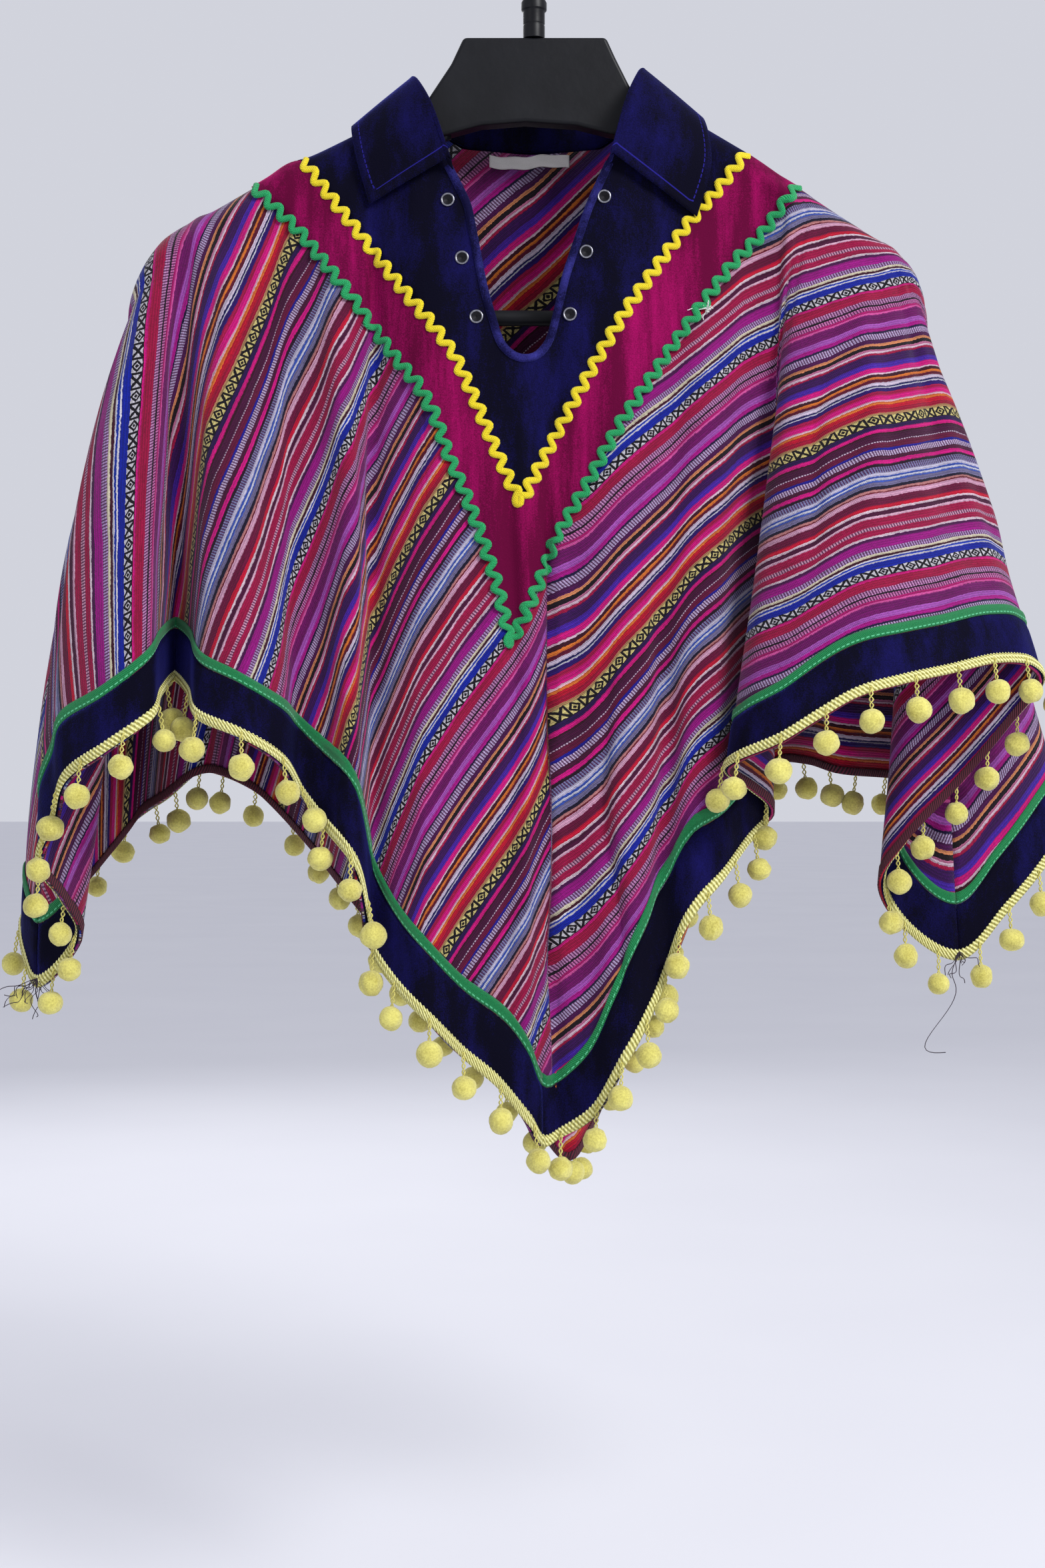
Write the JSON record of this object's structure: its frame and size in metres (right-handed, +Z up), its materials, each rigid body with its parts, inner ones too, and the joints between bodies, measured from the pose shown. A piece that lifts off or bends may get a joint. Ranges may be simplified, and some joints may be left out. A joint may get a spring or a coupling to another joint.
{
  "type": "poncho on a hanger",
  "caption": "Short pointed poncho of striped handwoven cloth with velvet collar, yoke and hem, ric-rac and pompom trim, hung on a plastic clothes hanger with a trouser bar and a wire hook.",
  "frame": {"origin": "underside of the top of the hook, where the hanger bears on its rail", "axes": "+Z up along the hanger's stem, the front of the poncho faces -Y, +X to the right as seen from the front"},
  "size_m": [0.6402, 0.2136, 0.7513],
  "materials": {
    "striped_cloth": "matt handwoven stripes",
    "navy_velvet": "short pile velvet with a blue sheen",
    "magenta_velvet": "short pile velvet",
    "yellow_trim": "matt woven ric-rac",
    "green_trim": "matt woven ribbon and ric-rac",
    "pompom_yarn": "fluffy yarn and gimp braid",
    "eyelet_metal": "polished white metal",
    "label_cloth": "matt woven tape, blank",
    "black_plastic": "satin",
    "hook_steel": "bright wire"
  },
  "bodies": {
    "root": {"front_panel": "striped_cloth", "back_panel": "striped_cloth", "front_yoke": "navy_velvet", "front_band": "magenta_velvet", "yellow_ricrac_front": "yellow_trim", "green_ricrac_front": "green_trim", "back_yoke": "navy_velvet", "back_band": "magenta_velvet", "yellow_ricrac_back": "yellow_trim", "green_ricrac_back": "green_trim", "slit_binding": "navy_velvet", "eyelet_1": "eyelet_metal", "eyelet_2": "eyelet_metal", "eyelet_3": "eyelet_metal", "eyelet_4": "eyelet_metal", "eyelet_5": "eyelet_metal", "eyelet_6": "eyelet_metal", "label": "label_cloth", "collar": "navy_velvet", "hem_band_front_left": "navy_velvet", "hem_band_front_right": "navy_velvet", "hem_band_back_right": "navy_velvet", "hem_band_back_left": "navy_velvet", "green_trim_front_left": "green_trim", "green_trim_front_right": "green_trim", "green_trim_back_right": "green_trim", "green_trim_back_left": "green_trim", "pompoms_front_left": "pompom_yarn", "pompoms_front_right": "pompom_yarn", "pompoms_back_right": "pompom_yarn", "pompoms_back_left": "pompom_yarn", "hanger": "black_plastic", "trouser_bar": "black_plastic", "hook_stem": "black_plastic", "hook": "hook_steel"}
  },
  "joints": []
}
